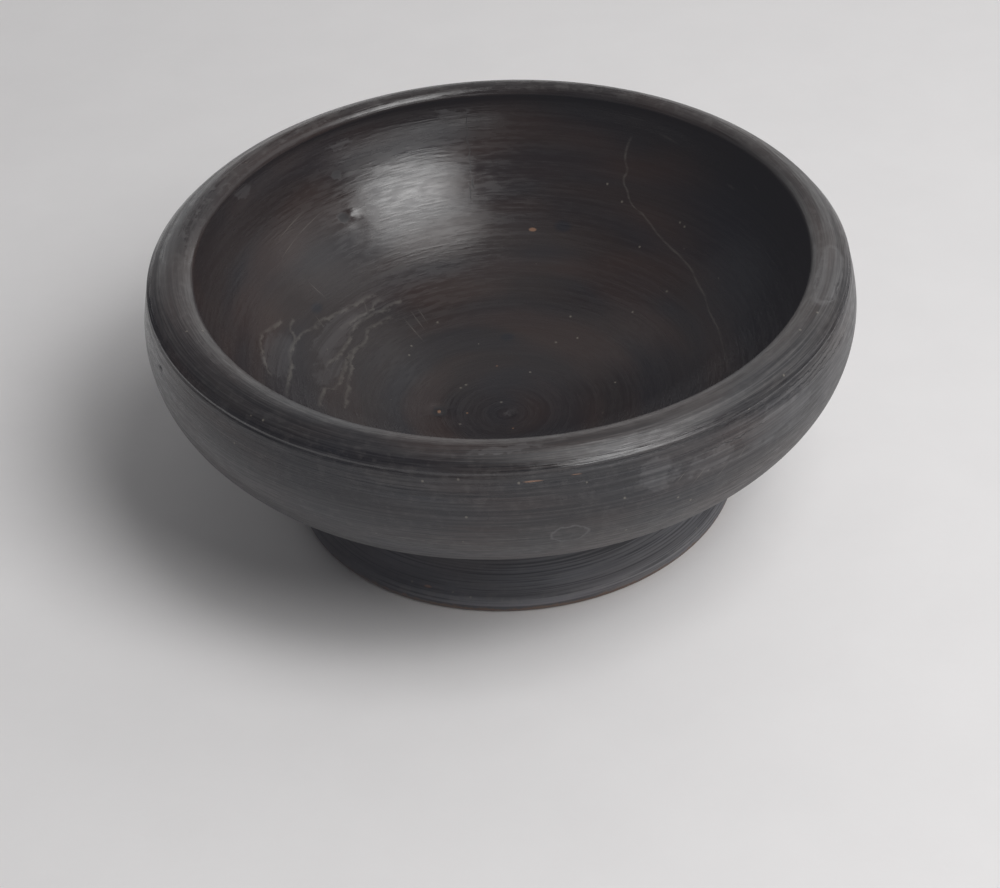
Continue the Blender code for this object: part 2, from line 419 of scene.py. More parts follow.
def bowl_mesh():
    """The turned surface as one closed mesh: a ring of vertices for each row and one for each middle."""
    places = rows()
    middles = places[[0, -1]]
    angle = np.radians(np.arange(AROUND) * 360.0 / AROUND)
    along, angle = np.meshgrid(places[1:-1], angle, indexing="ij")
    angle, along = gathered(angle, along)
    points = turned(angle, along, relief(angle, along)).reshape(-1, 3)
    vertices = np.concatenate([points, turned(np.zeros(2), middles, np.zeros(2))])
    corners, starts = ring_faces(len(places) - 2)
    mesh = bpy.data.meshes.new("thrown_bowl")
    mesh.vertices.add(len(vertices))
    mesh.vertices.foreach_set("co", vertices.ravel())
    mesh.loops.add(len(corners))
    mesh.loops.foreach_set("vertex_index", corners)
    mesh.polygons.add(len(starts))
    mesh.polygons.foreach_set("loop_start", starts)
    mesh.polygons.foreach_set("use_smooth", np.ones(len(starts), bool))
    mesh.update(calc_edges=True)
    mesh.validate()
    values = np.concatenate([along.ravel(), middles]).astype(np.float32)
    mesh.attributes.new("along", "FLOAT", "POINT").data.foreach_set("value", values)
    return mesh


# Nodes

def node_adder(material):
    """A function that adds one node to a material: its settings by name, and its sockets, by place or by
    name, set to a value or linked from a socket or from a node's first output."""
    tree = material.node_tree

    def add(kind, sockets=(), **settings):
        node = tree.nodes.new("ShaderNode" + kind)
        for name, value in settings.items():
            setattr(node, name, value)
        for key, value in sockets.items() if isinstance(sockets, dict) else enumerate(sockets):
            if isinstance(value, bpy.types.Node):
                value = value.outputs[0]
            if isinstance(value, bpy.types.NodeSocket):
                tree.links.new(value, node.inputs[key])
            else:
                node.inputs[key].default_value = value
        return node

    return add


def new_material(name):
    """An empty material, and the function that adds a node to it."""
    material = bpy.data.materials.new(name)
    material.use_nodes = True
    material.node_tree.nodes.clear()
    return material, node_adder(material)


def folded(add, operation, values):
    """Several values made one: MINIMUM keeps the nearest of several distances, MAXIMUM the strongest of
    several marks, and MULTIPLY leaves what all of them let through."""
    values = iter(values)
    result = next(values)
    for value in values:
        result = add("Math", [result, value], operation=operation)
    return result


def coated(add, colour, tint, *shares):
    """A colour under a coat of another tint, which covers by the product of its shares."""
    share = folded(add, "MULTIPLY", shares)
    return add("Mix", {0: share, 6: colour, 7: linear(tint)}, data_type="RGBA").outputs[2]


def grain(add, place, around, down, detail, rough):
    """Noise whose marks are so many mm long around the bowl and so many wide along the profile."""
    size = (1.0 / around, 1.0 / around, 1.0 / down)
    scaled = add("Mapping", {"Vector": place, "Scale": size})
    return add("TexNoise", {"Vector": scaled, "Scale": 1.0, "Detail": detail, "Roughness": rough})


def shifted(add, surface, noise, most):
    """Places on the surface shifted by a noise, at most so many degrees around and so many mm down."""
    around, down = most
    spread, back = (2.0 * around, 2.0 * down, 0.0), (-around, -down, 0.0)
    shift = add("VectorMath", [noise.outputs["Color"], spread, back], operation="MULTIPLY_ADD")
    return add("VectorMath", [surface, shift], operation="ADD")


def band(add, value, middle, half):
    """How far each value is from the middle of a band of them, in half-widths of the band."""
    off = add("Math", [add("Math", [value, middle], operation="SUBTRACT")], operation="ABSOLUTE")
    return add("Math", [off, half], operation="DIVIDE")


def traced(add, across, down, points, half, fade=1.0):
    """How far each point is from a line drawn through points (across, down), in its half-widths: 0 on the
    line and 1 at its edge. It grows from 0 to 1 past both ends too, over the fade on either side of the last
    point."""
    points = sorted(points)
    first, last = points[0][0], points[-1][0]
    downs = [y for _, y in points]
    low, high = min(downs) - CURVE_MARGIN, max(downs) + CURVE_MARGIN
    share = add("MapRange", [across, first, last, 0.0, 1.0])
    drawn = add("FloatCurve", {"Value": share})
    marks = drawn.mapping.curves[0].points
    spans = [((x - first) / (last - first), (y - low) / (high - low)) for x, y in points]
    marks[0].location, marks[1].location = spans[0], spans[-1]
    for span in spans[1:-1]:
        marks.new(*span)
    drawn.mapping.update()
    line = add("MapRange", [drawn, 0.0, 1.0, low, high])
    off = band(add, down, line, half)
    middle, reach = (first + last) / 2, (last - first) / 2
    out = add("Math", [add("Math", [across, middle], operation="SUBTRACT")], operation="ABSOLUTE")
    out = add("MapRange", [out, reach - fade, reach + fade, 0.0, 1.0])
    return add("Math", [off, out], operation="MAXIMUM")


# Marks on the slip. Their angles are seen from the upright axis, from the seam to a full turn beyond it
SEAM = 72.0
CURVE_MARGIN = 0.1           # kept free above and below a drawn line's curve
WAVER = 0.3                  # how far drawn lines waver: mm down, and as many degrees around
SHAKEN_BY = (0.7, 0.6)       # how far the edges of small marks stray: degrees around, mm down
TORN_BY = (4.5, 3.5)         # and the edges of the film


def spot_distances(add, surface, table):
    """How far each point is from each spot, in the spot's own half-sizes. The surface's angle, place and 1
    are turned, shifted and scaled by one dot product for each axis, or for a level spot by one product. A
    spot near the seam is drawn on both sides of it."""
    for angle, along, half_around, half_down, tilt in table:
        per_degree = np.radians(circle_at(along)[0])
        cos, sin = np.cos(np.radians(tilt)), np.sin(np.radians(tilt))
        axes = np.array([[cos * per_degree, sin], [-sin * per_degree, cos]]) / [[half_around], [half_down]]
        turns = (360.0,) if angle < SEAM else (0.0,)
        if abs(angle - SEAM) < half_around / per_degree + TORN_BY[0]:
            turns = (0.0, 360.0)
        for turn in turns:
            shift = -axes @ [angle + turn, along]
            if tilt:
                lines = [(*axis, back) for axis, back in zip(axes, shift)]
                x, y = (add("VectorMath", [surface, line], operation="DOT_PRODUCT") for line in lines)
                local = add("CombineXYZ", [x.outputs["Value"], y.outputs["Value"]])
            else:
                scale, back = (axes[0, 0], axes[1, 1], 0.0), (*shift, 0.0)
                local = add("VectorMath", [surface, scale, back], operation="MULTIPLY_ADD")
            yield add("VectorMath", [local], operation="LENGTH").outputs["Value"]


def spots(add, surface, table):
    """How far each point is from the nearest spot: 0 in its middle and 1 at its edge. A spot is an angle, a
    place, its half-length around and half-width down in mm, and its tilt in degrees."""
    return folded(add, "MINIMUM", spot_distances(add, surface, table))


def specks(add, millimetres, table, half):
    """How far each point is from the nearest speck, in half-sizes. A speck is an angle and a place."""
    centres = [tuple(turned(np.radians(degrees), along, 0.0) / MM) for degrees, along in table]
    nodes = (add("VectorMath", [millimetres, centre], operation="DISTANCE") for centre in centres)
    nearest = folded(add, "MINIMUM", (node.outputs["Value"] for node in nodes))
    return add("Math", [nearest, half], operation="DIVIDE")


# The crack, whose lower part runs mostly around and is given as angle, place
CRACK_LOW = [
    (352.1, 37.5), (355.8, 37.7), (362.7, 37.5), (371.4, 37.9), (378.8, 38.3), (385.0, 39.5), (390.1, 40.4),
    (394.6, 41.6), (398.9, 42.3), (403.3, 43.0), (407.3, 43.9), (411.3, 45.4), (414.3, 46.6),
]

# Its upper part climbs the wall and is given as place, angle
CRACK_HIGH = [
    (46.6, 414.3), (48.0, 417.9), (49.4, 419.1), (51.4, 420.7), (52.6, 420.4), (54.6, 421.4), (56.6, 421.5),
    (58.3, 421.0),
]

# Lines that drying damp left: angle, place
TIDE_MARKS = [
    [
        (156.1, 39.8), (159.4, 39.0), (162.7, 37.5), (167.0, 37.4), (171.6, 36.6), (176.2, 36.6),
        (186.3, 36.8),
    ],
    [
        (158.7, 41.2), (161.7, 41.7), (165.1, 42.4), (168.1, 43.0), (171.7, 42.5), (175.1, 41.8),
        (180.4, 40.2),
    ],
    [
        (128.5, 33.9), (130.3, 34.4), (133.2, 34.5), (136.8, 34.6), (139.7, 34.7), (142.6, 35.1),
        (145.7, 35.4), (149.7, 36.1), (153.0, 36.1), (156.2, 36.8), (159.6, 37.3), (162.7, 37.5),
    ],
    [
        (128.0, 33.0), (130.6, 32.9), (132.9, 32.2), (135.4, 32.2), (139.0, 32.4), (142.3, 32.4),
        (146.6, 32.8),
    ],
    [
        (130.6, 30.8), (133.4, 31.3), (137.1, 31.3), (140.2, 31.6), (144.7, 31.0), (148.9, 30.3),
        (154.8, 30.0), (159.2, 30.1), (162.8, 30.7), (166.3, 30.2),
    ],
    [
        (129.5, 29.2), (132.1, 29.2), (135.1, 29.3), (138.7, 29.5), (142.6, 28.7), (146.0, 28.1),
        (151.3, 28.5), (156.3, 28.5), (161.9, 28.0), (166.6, 27.9), (171.3, 27.9), (175.3, 28.7),
        (176.1, 30.1), (182.2, 30.7), (186.4, 31.0),
    ],
    [(152.7, 28.6), (159.5, 27.3), (166.8, 26.4), (176.1, 26.2), (184.5, 26.5)],
    [(122.4, 31.4), (126.2, 31.2), (129.5, 31.1), (132.8, 31.5)],
]

# Specks: angle and place, as in the relief
PALE_SPECKS = [
    (60.6, 25.0), (65.8, 11.3), (134.9, 10.0), (128.1, 10.0), (199.8, 7.9), (115.6, 24.7), (59.8, 47.5),
    (50.9, 41.0), (64.3, 49.9), (60.6, 19.1), (52.1, 21.3), (35.6, 36.2), (40.2, 30.1), (12.7, 19.0),
    (99.0, 3.2), (132.5, 22.5), (137.3, 21.2), (270.8, 75.8), (263.0, 81.2), (287.0, 88.0), (295.0, 83.6),
    (297.4, 85.3), (286.3, 80.7), (256.7, 75.7), (262.0, 75.1), (224.1, 78.5), (229.1, 72.7),
    (202.4, 68.0), (201.8, 70.0), (240.1, 133.4), (256.5, 134.2), (251.7, 133.7), (44.0, 47.4),
    (42.4, 47.1), (345.0, 0.9), (318.0, 73.0), (309.0, 74.3), (334.0, 70.6), (328.0, 70.0),
]

# Spots: angle, place, half-length around, half-width down, tilt
TAN_SPECKS = [
    (79.6, 40.5, 0.75, 0.4, 0), (175.8, 10.8, 0.5, 0.35, 0), (273.6, 75.7, 1.6, 0.15, 0),
    (246.7, 133.5, 0.75, 0.3, 0), (175.8, 6.2, 0.24, 0.2, 0), (287.4, 4.4, 0.2, 0.16, 0),
    (93.0, 12.4, 0.2, 0.16, 0), (280.0, 75.4, 0.9, 0.07, 3),
]
# Painted shade: dark spots in the dents, the pit and the chip, a line along the lap's step, and lines in the
# fine grooves under the rim
PAINTED_SHADE_MARKS = [
    (94.2, 47.4, 0.12, 1.9, 0), (93.5, 55.5, 0.10, 7.5, 0), (93.4, 49.0, 0.25, 1.2, 0),
    (124.4, 48.7, 1.3, 1.2, 30), (122.0, 56.0, 1.0, 0.9, 0), (201.1, 77.7, 0.6, 0.35, 0),
    (175.8, 10.8, 1.9, 1.5, 0), (296.0, 74.6, 24.0, 0.16, 0), (318.0, 75.3, 19.0, 0.13, 0.4),
    (325.0, 76.2, 14.0, 0.11, -0.4), (330.0, 77.2, 12.0, 0.10, 0.3), (338.0, 74.6, 11.0, 0.11, 0.2),
    (306.0, 77.6, 9.0, 0.10, 0.5),
]
SCRATCHES = [
    (142.3, 40.4, 0.12, 2.2, -6), (141.0, 49.0, 3.4, 0.1, -14), (133.0, 50.5, 5.0, 0.1, -12),
    (137.0, 52.0, 5.5, 0.12, -12), (150.0, 36.0, 0.1, 1.6, 20), (53.3, 59.9, 2.6, 0.3, 12),
    (36.4, 56.6, 1.3, 0.3, 5), (30.3, 58.9, 1.2, 0.3, 20), (125.5, 25.0, 0.14, 3.4, 0),
    (121.5, 26.4, 0.12, 2.6, 0), (118.6, 27.0, 0.1, 2.0, 0), (134.0, 33.0, 0.1, 1.5, 30),
    (296.0, 80.0, 0.1, 1.8, 50), (299.0, 81.0, 0.1, 2.4, 48), (303.0, 82.0, 0.1, 2.0, 52),
    (307.0, 80.5, 0.1, 1.6, 50),
]
DRIED_EDGES = [(346.0, 70.3, 8.6, 2.0, 0), (341.9, 71.3, 3.6, 0.8, 0), (278.6, 86.0, 2.9, 2.0, 0)]
FILM_PATCHES = [
    (346.0, 70.3, 9.5, 2.3, 0), (270.0, 70.6, 7.0, 0.8, 0), (292.0, 78.4, 3.0, 3.4, 0),
    (301.0, 79.2, 5.5, 1.9, 0), (171.0, 39.0, 7.0, 3.4, 0), (150.0, 33.0, 9.0, 2.6, 0),
    (165.0, 30.5, 6.0, 2.0, 0), (96.0, 61.5, 3.4, 1.0, 0), (146.0, 62.0, 4.0, 1.2, 0),
    (119.5, 60.5, 2.6, 0.6, 0), (314.0, 129.0, 6.0, 2.4, 0), (300.0, 131.0, 6.0, 1.2, 0),
    (316.0, 79.0, 9.0, 2.6, 0), (335.0, 81.0, 9.0, 3.6, 0),
]
# A few small blue-grey spots, and one large patch over the inside's right that is painted shade, dark and
# blue
COOL_SPOTS_AND_PAINTED_SHADE = [
    (12.0, 52.0, 34.0, 18.0, 0), (72.1, 41.5, 2.0, 1.4, 0), (85.8, 19.0, 1.6, 1.2, 0),
    (146.8, 38.1, 1.8, 1.3, 0),
]

# Colour of the slip at places along the profile, on a ramp a little longer than the profile. The darker
# # stops from 91 to 119, under the belly, are painted shade
RAMP_LENGTH = 180.0
SLIP_COLOURS = [
    (0.0, "1F1714"), (24.0, "1D1512"), (42.0, "241A16"), (62.0, "201714"), (69.0, "1A1311"),
    (73.5, "191311"), (76.0, "111115"), (81.0, "111115"), (86.0, "130E0D"), (91.0, "110D0C"),
    (98.0, "0E0A08"), (119.0, "0D0A09"), (122.0, "5C5C62"), (138.0, "606066"),
]

# Bands along the profile: middle and half-width
MOUTH_EDGE = (68.5, 1.6)
RIM_FACE = (69.1, 4.2)
RIM_EDGE = (73.7, 0.6)
FOOT_BAND = (129.0, 9.0)
TOE_EDGE = (134.8, 1.5)
RESTING_RING = (140.6, 4.6)

# Places along the profile between which a look changes
INTO_STREAKS = (56.0, 68.0)  # from the few streaks of the inside to the many of the rim and the outside
INTO_DRYNESS = (62.0, 68.0)  # the brush ran dry on the outside alone
INTO_FILM = (56.0, 66.0)     # the film is thinner on the inside
OUTSIDE_FROM = (68.0, 72.0)
BELLY_DULLS = (78.0, 106.0)  # the outside loses its gloss towards the foot
FLOOR_EVEN = (15.0, 50.0)    # the strokes lie flatter on the floor

# Places across the bowl between which a look changes: to the right by x, or nearer by y
RIGHT_SIDE = (12.0, 50.0)
FOOT_RIGHT = (-20.0, 25.0)
NEAR_SIDE = (15.0, -15.0)

# Grains that the marks are made of: length around and width down in mm, detail, roughness
FINE = (9.0, 0.25, 2.0, 0.55)        # hairs of the brush
BRUSHED = (30.0, 0.9, 2.0, 0.55)     # its strokes
BLOTCHES = (26.0, 9.0, 1.0, 0.55)    # slip that fired unevenly
DASHES = (2.6, 0.5, 1.0, 0.55)       # short marks of the burnisher
RAGGED = (1.6, 1.6, 2.0, 0.65)       # what breaks up the edges of marks
BRISTLES = (24.0, 0.26, 1.0, 0.7)    # rings where the brush ran dry
TEARS = (4.5, 3.0, 3.0, 0.7)         # what tears the edges of the film

# Sizes of the marks and of the board's patterns in mm
TIDE_HALF = 0.55             # half-width of a tide mark, with its soft edges
CRACK_LOW_HALF = 0.28
CRACK_HIGH_HALF = 0.42       # degrees
CRACK_HIGH_FADE = 0.6
SPECK_HALF = 0.26
DUST_CELL = 3.0              # dust-fine specks, 0.2 to 0.4 mm wide, lie in about one such cell out of four
TONE_SHIFT = 4.0             # how far a blotch shifts the colours along the profile
STROKE_DEPTH = 0.035         # bump of the brush's strokes
BOARD_MOTTLE = 16.667
BOARD_TOOTH = 1.1111


def slip_places(add):
    """Where each point of the bowl lies: its place along the profile, its x and y in mm, its angle counted on
    from the seam, and x, y and place as one vector for patterns drawn out around the bowl."""
    position = add("TexCoord").outputs["Object"]
    along = add("Attribute", attribute_name="along").outputs["Fac"]
    millimetres = add("VectorMath", {0: position, "Scale": 1.0 / MM}, operation="SCALE")
    apart = add("SeparateXYZ", [millimetres])
    x, y = apart.outputs["X"], apart.outputs["Y"]
    turn = add("Math", [y, x], operation="ARCTAN2")
    turn = add("Math", [turn, 180.0 / np.pi], operation="MULTIPLY")
    angle = add("Math", [turn, SEAM + 360.0, SEAM], operation="WRAP")
    place = add("CombineXYZ", [x, y, along])
    return SimpleNamespace(millimetres=millimetres, x=x, y=y, along=along, angle=angle, place=place)


def slip_grains(add, on):
    """The grains that the marks are made of, how strongly each point is streaked and how dry the brush was
    there, and the places that stray by the grains."""
    on.fine = grain(add, on.place, *FINE)
    on.brushed = grain(add, on.place, *BRUSHED)
    on.blotches = grain(add, on.place, *BLOTCHES)
    on.dashes = grain(add, on.place, *DASHES)
    on.ragged = grain(add, on.place, *RAGGED)
    on.bristles = grain(add, on.place, *BRISTLES)

    # Streaks show least on the inside, and the outside's right is the driest
    on.lined = add("MapRange", [on.along, *INTO_STREAKS, 0.30, 1.0])
    right = add("MapRange", [on.x, *RIGHT_SIDE, 0.0, 1.0])
    on.dry = add("Math", [add("MapRange", [on.along, *INTO_DRYNESS, 0.0, 1.0]), right], operation="MULTIPLY")

    # Places that stray a little, so that lines waver and edges are ragged
    waver = add("MapRange", [on.ragged, 0.3, 0.7, -WAVER, WAVER])
    on.wavering_along = add("Math", [on.along, waver], operation="ADD")
    on.wavering_angle = add("Math", [on.angle, waver], operation="ADD")
    on.surface = add("CombineXYZ", [on.angle, on.along, 1.0])
    on.shaken = shifted(add, on.surface, on.ragged, SHAKEN_BY)
    on.torn = shifted(add, on.surface, grain(add, on.place, *TEARS), TORN_BY)


def fired_tones(add, on):
    """Colour of the fired slip along the profile, brown on the inside and blue-grey under the rim, with
    cooler and warmer blotches, a few small blue-grey spots, and painted shade, dark and blue, over the
    inside's right."""
    warmth = add("MapRange", [on.blotches, 0.38, 0.62, -TONE_SHIFT, TONE_SHIFT])
    level = add("Math", [add("Math", [on.along, warmth], operation="ADD"), RAMP_LENGTH], operation="DIVIDE")
    profile = add("ValToRGB", [level])
    ramp = profile.color_ramp
    for _ in SLIP_COLOURS[2:]:
        ramp.elements.new(0.5)
    for element, (at, tone) in zip(ramp.elements, SLIP_COLOURS):
        element.position = at / RAMP_LENGTH
        element.color = linear(tone)
    colour = profile.outputs["Color"]
    tints = add("SeparateColor", [on.blotches.outputs["Color"]])
    colour = coated(add, colour, "14161C", add("MapRange", [tints.outputs[1], 0.42, 0.62, 0.0, 0.5]))
    colour = coated(add, colour, "33221A", add("MapRange", [tints.outputs[2], 0.45, 0.65, 0.0, 0.5]))
    # Painted shade, dark and blue, over the inside's right, and small blue-grey spots
    cool = spots(add, on.surface, COOL_SPOTS_AND_PAINTED_SHADE)
    cool = add("MapRange", [cool, 0.35, 1.0, 0.75, 0.0], interpolation_type="SMOOTHSTEP")
    return coated(add, colour, "080B15", cool)


def streaked(add, on, colour):
    """The colour with the brush's streaks: pale ones, stronger where it ran dry, and on the outside pale
    rings, ragged soil in the pores and dark rings between."""
    streak = add("MapRange", [add("Math", [on.fine, on.brushed], operation="ADD"), 0.80, 1.22, 0.0, 0.26])
    streak = add("Math", [streak, on.lined], operation="MULTIPLY")
    colour = coated(add, colour, "4C4A49", streak, add("Math", [on.dry, 1.6, 1.0], operation="MULTIPLY_ADD"))
    outside = add("MapRange", [on.along, *OUTSIDE_FROM, 0.0, 1.0])
    drier = add("MapRange", [on.dry, 0.0, 1.0, 0.06, 0.18])
    pale = add("MapRange", [on.bristles, 0.54, 0.68, 0.0, 1.0])
    colour = coated(add, colour, "77767A", pale, drier, outside)
    soil = add("MapRange", [on.ragged, 0.50, 0.66, 0.0, 0.11])
    colour = coated(add, colour, "6E6A68", soil, outside)
    dark = add("MapRange", [on.bristles, 0.47, 0.38, 0.0, 0.7])
    return coated(add, colour, "0F0E10", dark, outside)


def lime_film(add, on):
    """How much of each point a pale film of lime covers: patches where damp dried, a trace all over the dry
    side, rings on the foot's right that are partly a pale film and partly painted light on that lit side, and
    a firmer edge where a patch dried last."""
    film = spots(add, on.torn, FILM_PATCHES)
    film = add("MapRange", [film, 0.65, 1.0, 1.0, 0.0], interpolation_type="SMOOTHSTEP")
    film = add("Math", [film, add("MapRange", [on.brushed, 0.35, 0.65, 0.08, 0.24])], operation="MULTIPLY")
    film = add("Math", [film, add("MapRange", [on.along, *INTO_FILM, 0.6, 1.0])], operation="MULTIPLY")
    film = add("Math", [on.dry, 0.015, film], operation="MULTIPLY_ADD")
    # Rings on the foot, paler towards its right: partly a pale film, partly painted light where the light
    # falls on that side
    foot = add("MapRange", [band(add, on.along, *FOOT_BAND), 0.8, 1.0, 1.0, 0.0])
    foot = add("Math", [foot, add("MapRange", [on.x, *FOOT_RIGHT, 0.0, 1.0])], operation="MULTIPLY")
    foot = add("Math", [foot, add("MapRange", [on.bristles, 0.42, 0.62, 0.12, 0.6])], operation="MULTIPLY")
    film = add("Math", [foot, film], operation="MAXIMUM")
    edges = band(add, spots(add, on.shaken, DRIED_EDGES), 0.9, 0.12)
    return add("Math", [add("MapRange", [edges, 0.2, 1.0, 0.30, 0.0]), film], operation="MAXIMUM")


def fine_lines(add, on):
    """How much of each point a pale line covers: the tide marks, the crack filled with lime, or a scratch."""
    tides = [traced(add, on.wavering_angle, on.wavering_along, points, TIDE_HALF) for points in TIDE_MARKS]
    tide = folded(add, "MINIMUM", tides)
    tide = add("MapRange", [tide, 0.05, 1.0, 1.0, 0.0], interpolation_type="SMOOTHSTEP")
    tide = add("Math", [tide, add("MapRange", [on.ragged, 0.35, 0.62, 0.03, 0.18])], operation="MULTIPLY")
    low = traced(add, on.angle, on.along, CRACK_LOW, CRACK_LOW_HALF)
    high = traced(add, on.along, on.angle, CRACK_HIGH, CRACK_HIGH_HALF, CRACK_HIGH_FADE)
    crack = folded(add, "MINIMUM", [low, high])
    crack = add("MapRange", [crack, 0.1, 1.0, 1.0, 0.0], interpolation_type="SMOOTHSTEP")
    crack = add("Math", [crack, add("MapRange", [on.brushed, 0.35, 0.6, 0.04, 0.13])], operation="MULTIPLY")
    scored = add("MapRange", [spots(add, on.surface, SCRATCHES), 0.2, 1.0, 0.16, 0.0])
    return folded(add, "MAXIMUM", [tide, crack, scored])


def slip_gloss(add, on):
    """Roughness of the clean slip: it changes along the burnisher's strokes, and the slip is duller where the
    brush ran dry, on the near side of the rim's face and down the belly, and shiniest on the rim's edge."""
    strokes = add("Math", [on.brushed, on.dashes], operation="ADD")
    gloss = add("MapRange", [strokes, 0.78, 1.22, 0.13, 0.28])
    gloss = add("Math", [on.lined, 0.03, gloss], operation="MULTIPLY_ADD")
    gloss = add("Math", [on.dry, 0.08, gloss], operation="MULTIPLY_ADD")
    face = add("MapRange", [band(add, on.along, *RIM_FACE), 0.8, 1.0, 0.14, 0.0])
    near = add("MapRange", [on.y, *NEAR_SIDE, 0.0, 1.0])
    gloss = add("Math", [face, near, gloss], operation="MULTIPLY_ADD")
    edge = add("MapRange", [band(add, on.along, *RIM_EDGE), 0.6, 1.0, -0.06, 0.0])
    gloss = add("Math", [gloss, edge], operation="ADD")
    return add("Math", [add("MapRange", [on.along, *BELLY_DULLS, 0.04, 0.44]), gloss], operation="ADD")


def slip_strokes(add, on):
    """Bump of the brush's hairs and strokes and of the burnisher's marks, flatter on the floor."""
    hairs = add("Math", [on.fine, add("Math", [on.lined, 1.5], operation="MULTIPLY")], operation="MULTIPLY")
    depth = add("Math", [on.brushed, 0.4, hairs], operation="MULTIPLY_ADD")
    depth = add("Math", [on.dashes, 0.8, depth], operation="MULTIPLY_ADD")
    depth = add("Math", [depth, add("MapRange", [on.along, *FLOOR_EVEN, 0.35, 1.0])], operation="MULTIPLY")
    return add("Bump", {"Height": depth, "Distance": STROKE_DEPTH * MM, "Strength": 1.0})


def black_slip():
    """Red clay under a slip of iron-rich clay, brushed on the turning wheel, burnished and fired black. The
    slip is nearly black, brown where it is thin and blue-grey where it is thick, with a satin gloss drawn out
    in fine rings by the brush. Damp has left pale tide marks, and the clay shows tan where the slip is worn
    through."""
    material, add = new_material("black_slip_burnished_on_the_wheel")
    on = slip_places(add)
    slip_grains(add, on)
    colour = streaked(add, on, fired_tones(add, on))
    film = lime_film(add, on)
    colour = coated(add, colour, "7C7B7C", film)
    lines = fine_lines(add, on)
    colour = coated(add, colour, "98948B", lines)

    # Specks of lime, painted shade in the dents, pit, chip, lap's step and grooves under the rim, bare clay
    # and dust
    pale = specks(add, on.millimetres, PALE_SPECKS, SPECK_HALF)
    pale = add("MapRange", [pale, 0.4, 1.0, 0.30, 0.0])
    colour = coated(add, colour, "A39D90", pale)
    # Painted shade in the dents, the pit, the chip, along the lap's step and in the grooves under the rim
    dark = add("MapRange", [spots(add, on.shaken, PAINTED_SHADE_MARKS), 0.6, 1.0, 0.7, 0.0])
    colour = coated(add, colour, "0E0D0F", dark)
    bare = add("MapRange", [spots(add, on.surface, TAN_SPECKS), 0.6, 1.0, 0.55, 0.0])
    colour = coated(add, colour, "9C7459", bare)
    cells = add("TexVoronoi", {"Vector": on.place, "Scale": 1.0 / DUST_CELL})
    chosen = add("MapRange", [cells.outputs["Color"], 0.74, 0.76, 0.0, 1.0])
    colour = coated(add, colour, "8E877B", add("MapRange", [cells, 0.03, 0.07, 0.30, 0.0]), chosen)

    # The mouth's edge and the foot's are rubbed, and the clay shows where the bowl stands
    edges = [band(add, on.along, *MOUTH_EDGE), band(add, on.along, *TOE_EDGE)]
    rubbed = add("MapRange", [folded(add, "MINIMUM", edges), 0.2, 1.0, 1.0, 0.0])
    rubbed = add("Math", [rubbed, add("MapRange", [on.ragged, 0.50, 0.66, 0.0, 0.18])], operation="MULTIPLY")
    colour = coated(add, colour, "6E6B69", rubbed)
    resting = add("MapRange", [band(add, on.wavering_along, *RESTING_RING), 0.94, 1.03, 0.7, 0.0])
    colour = coated(add, colour, "6B5340", resting)

    # The slip shines less under film, on marks and where it is worn
    gloss = slip_gloss(add, on)
    matt = folded(add, "MAXIMUM", [film, lines, resting, rubbed, dark])
    rough = add("Math", [matt, 0.5, gloss], operation="MULTIPLY_ADD")
    strokes = slip_strokes(add, on)
    shader = add("BsdfPrincipled", {"Base Color": colour, "Roughness": rough, "IOR": 1.5, "Normal": strokes})
    add("OutputMaterial", {"Surface": shader})
    return material


def table_top():
    """Painted board: pale, matt and very slightly uneven, which gives an even, soft ground for the shadow."""
    material, add = new_material("pale_matt_painted_board")
    position = add("TexCoord").outputs["Object"]
    mottling = 1.0 / (BOARD_MOTTLE * MM)
    mottle = add("TexNoise", {"Vector": position, "Scale": mottling, "Detail": 4.0, "Roughness": 0.6})
    share = add("MapRange", [mottle, 0.35, 0.65, 0.0, 1.0])
    colour = coated(add, linear("E7E5E5"), "E9E7E7", share)
    tooth = add("TexNoise", {"Vector": position, "Scale": 1.0 / (BOARD_TOOTH * MM), "Detail": 2.0})
    bump = add("Bump", {"Height": tooth, "Distance": 0.03 * MM, "Strength": 0.5})
    shader = add("BsdfPrincipled", {"Base Color": colour, "Roughness": 0.9, "IOR": 1.3, "Normal": bump})
    add("OutputMaterial", {"Surface": shader})
    return material


# Pieces, camera and lights

TABLE_REACH = 1.5            # metres from the bowl to the table's edges

# Camera
LENS = 93.6                  # mm
SENSOR = 36.0                # its width in mm
DISTANCE = 0.43231           # metres from the middle of the foot
RISE = 37.733                # degrees above the table
ROLL = 3.785
PAN = 0.129
TILT = 0.620
VEIL = (0.0132, 0.0132, 0.0152)  # light scattered in the lens, as shares of white in red, green and blue

# Lights: degrees from the far side towards the right, degrees up, metres away, width, height, watts
LIGHTS = {
    "softbox": (136, 46, 0.8, 0.46, 0.42, 3.1),
    "softbox_upper": (124, 62, 0.8, 0.40, 0.50, 2.1),
    "sweep": (0, 16, 0.9, 1.4, 0.42, 1.8),
    "sweep_right": (50, 32, 0.9, 1.2, 0.9, 1.15),
    "sweep_left": (315, 30, 0.9, 0.6, 0.5, 0.08),
    "right": (85, 46, 0.8, 0.5, 0.7, 0.45),
    "right_low": (148, 14, 0.8, 1.0, 0.25, 1.1),
    "upper": (0, 55, 0.9, 0.9, 0.4, 0.25),
    "ceiling": (0, 88, 0.9, 0.6, 0.6, 0.2),
}
AIM = (0.0, 0.0, 0.02)       # what the lights face, in metres: the middle of the bowl
ROOM_TINT = "E8EAF0"         # faint light from all round
ROOM_STRENGTH = 0.028


def piece(name, mesh, material):
    """A piece of the scene, with its place in its mesh."""
    mesh.materials.append(material)
    made = bpy.data.objects.new(name, mesh)
    bpy.context.scene.collection.objects.link(made)
    return made


